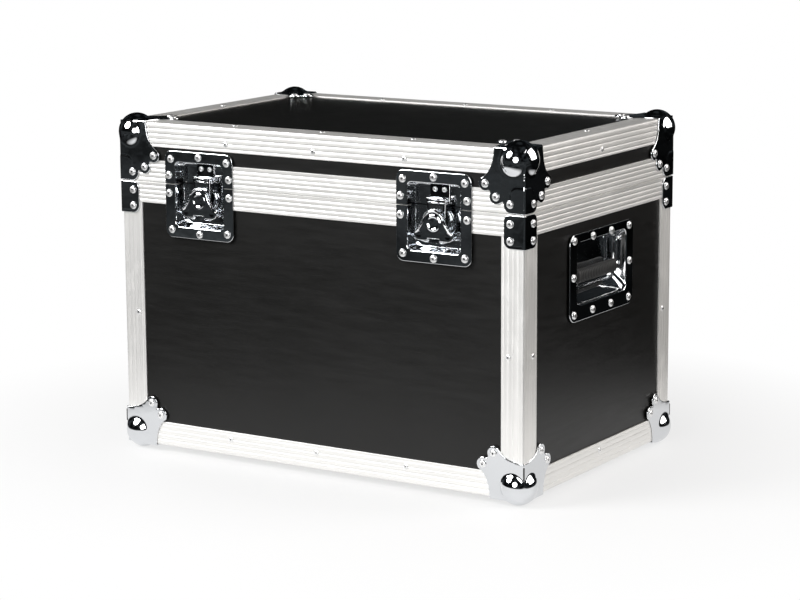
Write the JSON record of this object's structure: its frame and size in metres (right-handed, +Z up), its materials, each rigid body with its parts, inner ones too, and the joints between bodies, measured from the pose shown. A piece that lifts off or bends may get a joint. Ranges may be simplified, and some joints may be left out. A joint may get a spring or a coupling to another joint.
{
  "type": "road case",
  "caption": "Rigid road case with a hinged lid, ball corners, recessed butterfly latches and recessed drop handles, empty and lined with foam.",
  "frame": {"origin": "on the floor under the middle of the case", "axes": "+X runs right along the front, -Y is the latch side, +Z is up"},
  "size_m": [0.585, 0.387, 0.421],
  "materials": {
    "laminate": "black phenolic laminate on plywood, fine satin grain",
    "aluminium": "mill finish extrusion with fine ribs",
    "chrome_steel": "bright plated pressed steel",
    "foam": "dark open cell foam",
    "grip_rubber": "matt moulded rubber"
  },
  "bodies": {
    "base": {"base_back_panel": "laminate", "base_bottom_panel": "laminate", "base_foam": "foam", "base_front_panel": "laminate", "base_left_panel": "laminate", "base_right_panel": "laminate", "bottom_ball_corner_back_left": "chrome_steel", "bottom_ball_corner_back_right": "chrome_steel", "bottom_ball_corner_front_left": "chrome_steel", "bottom_ball_corner_front_right": "chrome_steel", "bottom_bar_back": "aluminium", "bottom_bar_front": "aluminium", "bottom_bar_left": "aluminium", "bottom_bar_right": "aluminium", "closure_groove_frame": "aluminium", "closure_groove_middle": "aluminium", "corner_brace_back_left": "chrome_steel", "corner_brace_back_right": "chrome_steel", "corner_brace_front_left": "chrome_steel", "corner_brace_front_right": "chrome_steel", "handle_left_dish": "chrome_steel", "handle_right_dish": "chrome_steel", "latch_left_base_dish": "chrome_steel", "latch_right_base_dish": "chrome_steel", "rear_hinge_base_leaf": "chrome_steel", "upright_back_left": "aluminium", "upright_back_right": "aluminium", "upright_front_left": "aluminium", "upright_front_right": "aluminium"},
    "lid": {"closure_tongue_frame": "aluminium", "closure_tongue_middle": "aluminium", "latch_left_keeper": "chrome_steel", "latch_left_lid_dish": "chrome_steel", "latch_right_keeper": "chrome_steel", "latch_right_lid_dish": "chrome_steel", "lid_back_panel": "laminate", "lid_foam": "foam", "lid_front_panel": "laminate", "lid_left_panel": "laminate", "lid_right_panel": "laminate", "lid_top_panel": "laminate", "rear_hinge_lid_leaf": "chrome_steel", "top_ball_corner_back_left": "chrome_steel", "top_ball_corner_back_right": "chrome_steel", "top_ball_corner_front_left": "chrome_steel", "top_ball_corner_front_right": "chrome_steel", "top_bar_back": "aluminium", "top_bar_front": "aluminium", "top_bar_left": "aluminium", "top_bar_right": "aluminium"},
    "latch_left_hook": {"latch_left_hook": "chrome_steel"},
    "latch_left_turntable": {"latch_left_turntable": "chrome_steel"},
    "latch_left_wing": {"latch_left_wing": "chrome_steel"},
    "handle_left": {"handle_left_bail": "chrome_steel", "handle_left_grip": "grip_rubber"},
    "latch_right_hook": {"latch_right_hook": "chrome_steel"},
    "latch_right_turntable": {"latch_right_turntable": "chrome_steel"},
    "latch_right_wing": {"latch_right_wing": "chrome_steel"},
    "handle_right": {"handle_right_bail": "chrome_steel", "handle_right_grip": "grip_rubber"}
  },
  "joints": [
    {"name": "lid_hinge", "type": "hinge", "parent": "base", "child": "lid", "pos_m": [0, 0.1893, 0.339], "axis": [-1, 0, 0], "range_deg": [0, 100]},
    {"name": "latch_left_twist", "type": "hinge", "parent": "base", "child": "latch_left_turntable", "pos_m": [-0.166, -0.185, 0.3211], "axis": [0, 1, 0], "range_deg": [0, 180]},
    {"name": "latch_left_hook_lift", "type": "slide", "parent": "base", "child": "latch_left_hook", "axis": [0, 0, 1], "range_m": [0, 0.006]},
    {"name": "latch_left_wing_fold", "type": "hinge", "parent": "latch_left_turntable", "child": "latch_left_wing", "pos_m": [-0.166, -0.1841, 0.3], "axis": [1, 0, 0], "range_deg": [0, 90], "stiffness_Nm_per_rad": 0.01},
    {"name": "handle_left_swing", "type": "hinge", "parent": "base", "child": "handle_left", "pos_m": [-0.2755, 0, 0.2795], "axis": [0, 1, 0], "range_deg": [0, 90]},
    {"name": "latch_right_twist", "type": "hinge", "parent": "base", "child": "latch_right_turntable", "pos_m": [0.166, -0.185, 0.3211], "axis": [0, 1, 0], "range_deg": [0, 180]},
    {"name": "latch_right_hook_lift", "type": "slide", "parent": "base", "child": "latch_right_hook", "axis": [0, 0, 1], "range_m": [0, 0.006]},
    {"name": "latch_right_wing_fold", "type": "hinge", "parent": "latch_right_turntable", "child": "latch_right_wing", "pos_m": [0.166, -0.1841, 0.3], "axis": [1, 0, 0], "range_deg": [0, 90], "stiffness_Nm_per_rad": 0.01},
    {"name": "handle_right_swing", "type": "hinge", "parent": "base", "child": "handle_right", "pos_m": [0.2755, 0, 0.2795], "axis": [0, -1, 0], "range_deg": [0, 90]}
  ],
  "couplings": [
    {"joint": "latch_left_hook_lift", "follows": "latch_left_twist", "m_per_rad": 0.0019098},
    {"joint": "latch_right_hook_lift", "follows": "latch_right_twist", "m_per_rad": 0.0019098}
  ]
}
